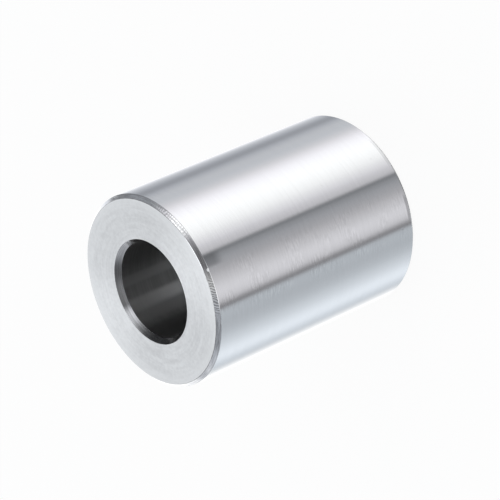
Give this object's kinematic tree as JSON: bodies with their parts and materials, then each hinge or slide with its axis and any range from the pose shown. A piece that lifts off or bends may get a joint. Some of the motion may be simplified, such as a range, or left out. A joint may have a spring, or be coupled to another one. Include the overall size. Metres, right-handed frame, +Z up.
{
  "type": "spacer sleeve",
  "caption": "Thick-walled round steel spacer sleeve with a straight through bore, faced ends and a small chamfer on every edge.",
  "frame": {"origin": "centre of the end face that the sleeve stands on", "axes": "+Z up along the bore axis, towards the free end face; the sleeve is round about +Z, so +X and +Y are any two directions across it"},
  "size_m": [0.024, 0.024, 0.032],
  "materials": {
    "steel": "ground outside wall, satin faced ends, turned bore"
  },
  "bodies": {
    "root": {"sleeve": "steel"}
  },
  "joints": []
}
